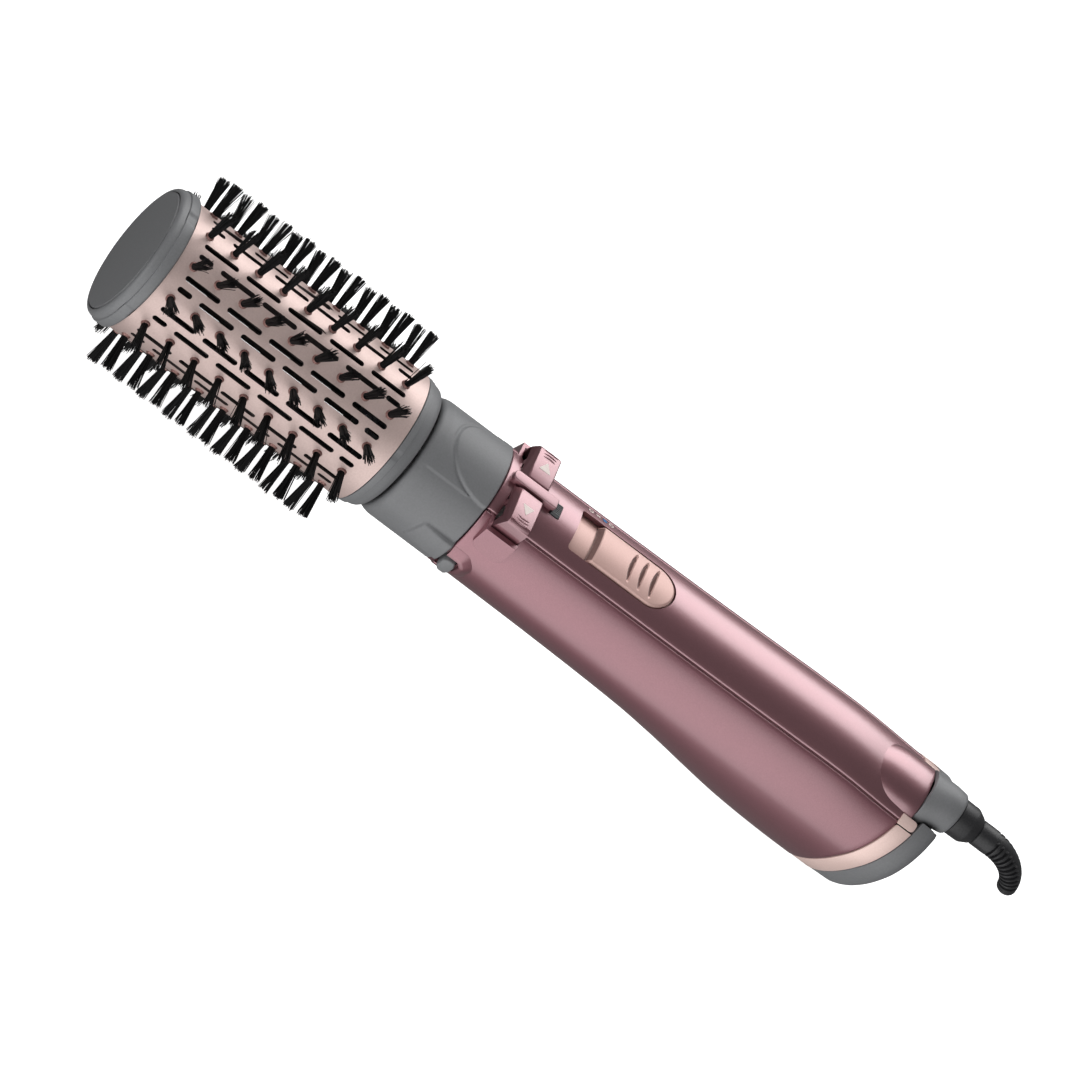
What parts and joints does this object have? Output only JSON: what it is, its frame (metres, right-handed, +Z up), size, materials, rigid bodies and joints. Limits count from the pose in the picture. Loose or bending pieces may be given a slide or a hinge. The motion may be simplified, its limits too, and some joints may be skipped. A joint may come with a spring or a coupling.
{
  "type": "hot air brush",
  "caption": "Rotating hot air brush: slotted round barrel with bristle strips on a slim handle with a direction rocker, a speed slider and a swivel cord guard.",
  "frame": {"origin": "centre of the flat face at the barrel's tip, on the barrel's axis", "axes": "+X along the barrel's axis from the tip to the cord, +Z up through the controls, +Y to the right seen from the cord end"},
  "size_m": [0.3594, 0.074, 0.074],
  "materials": {
    "burgundy": "metallic flake, satin",
    "grey_plastic": "satin",
    "rose_aluminium": "satin anodised",
    "rose_trim": "metallic lacquer",
    "bristle": "nylon fibre",
    "black_rubber": "satin",
    "black_plastic": "satin",
    "window": "gloss",
    "steel": "brushed",
    "white_plastic": "moulded",
    "mica": "mica sheet",
    "circuit_board": "solder mask",
    "filter_mesh": "fine mesh"
  },
  "bodies": {
    "handle": {"upper_cover": "burgundy", "lower_body": "burgundy", "head_socket": "grey_plastic", "rocker_pin": "steel", "switch_carrier": "white_plastic", "micro_switch_left": "black_plastic", "micro_switch_right": "black_plastic", "indicator_window": "window", "slider_floor": "rose_trim", "slide_switch": "black_plastic", "gearbox": "steel", "rotation_motor": "steel", "motor_bracket": "white_plastic", "mica_tube": "mica", "heater_former": "mica", "heater_coil": "steel", "thermostat": "white_plastic", "fan_duct": "white_plastic", "fan_motor": "steel", "control_board": "circuit_board", "capacitor": "rose_trim", "board_screw_1": "steel", "board_screw_2": "steel", "intake_band": "rose_trim", "cord_collar": "grey_plastic"},
    "head_neck": {"neck_collar": "grey_plastic", "neck_bearing": "steel"},
    "barrel": {"barrel_sleeve": "rose_aluminium", "bristle_strip_01": "bristle", "bristle_strip_02": "bristle", "bristle_strip_03": "bristle", "bristle_strip_04": "bristle", "bristle_strip_05": "bristle", "bristle_strip_06": "bristle", "bristle_strip_07": "bristle", "bristle_strip_08": "bristle", "bristle_strip_09": "bristle", "bristle_strip_10": "bristle", "bristle_strip_11": "bristle", "bristle_strip_12": "bristle", "tip_disc": "grey_plastic", "tip_cap": "grey_plastic", "barrel_rear_ring": "grey_plastic", "drive_hub": "grey_plastic", "drive_shaft": "steel"},
    "rocker": {"direction_rocker": "burgundy"},
    "slider": {"speed_slider": "rose_trim"},
    "button_left": {"release_button_left": "grey_plastic"},
    "button_right": {"release_button_right": "grey_plastic"},
    "drive_output": {"drive_coupling": "white_plastic", "output_shaft": "steel"},
    "fan_rotor": {"fan_shaft": "steel", "fan_impeller": "black_plastic"},
    "intake": {"intake_cover": "grey_plastic", "intake_filter": "filter_mesh"},
    "cord_guard": {"cord_swivel": "black_rubber", "strain_relief": "black_rubber"}
  },
  "joints": [
    {"name": "head_release", "type": "slide", "parent": "handle", "child": "head_neck", "axis": [-1, 0, 0], "range_m": [0, 0.03]},
    {"name": "barrel_spin", "type": "hinge", "parent": "head_neck", "child": "barrel", "pos_m": [0.05, 0, 0], "axis": [1, 0, 0], "continuous": true},
    {"name": "drive_spin", "type": "hinge", "parent": "handle", "child": "drive_output", "pos_m": [0.148, 0, 0], "axis": [1, 0, 0], "continuous": true},
    {"name": "fan_spin", "type": "hinge", "parent": "handle", "child": "fan_rotor", "pos_m": [0.286, 0, -0.009], "axis": [1, 0, 0], "continuous": true},
    {"name": "rocker_tilt", "type": "hinge", "parent": "handle", "child": "rocker", "pos_m": [0.1484, 0, 0.0182], "axis": [1, 0, 0], "range_deg": [-4, 4], "stiffness_Nm_per_rad": 0.25},
    {"name": "speed_slide", "type": "slide", "parent": "handle", "child": "slider", "axis": [-1, 0, 0], "range_m": [0, 0.0066]},
    {"name": "release_left", "type": "slide", "parent": "handle", "child": "button_left", "axis": [0, 1, 0], "range_m": [0, 0.0018], "stiffness_N_per_m": 900},
    {"name": "release_right", "type": "slide", "parent": "handle", "child": "button_right", "axis": [0, -1, 0], "range_m": [0, 0.0018], "stiffness_N_per_m": 900},
    {"name": "intake_pull", "type": "slide", "parent": "handle", "child": "intake", "axis": [1, 0, 0], "range_m": [0, 0.012]},
    {"name": "cord_turn", "type": "hinge", "parent": "handle", "child": "cord_guard", "pos_m": [0.33, 0, 0.0206], "axis": [1, 0, 0], "continuous": true}
  ],
  "couplings": [
    {"joint": "drive_spin", "follows": "barrel_spin", "ratio": 1}
  ]
}
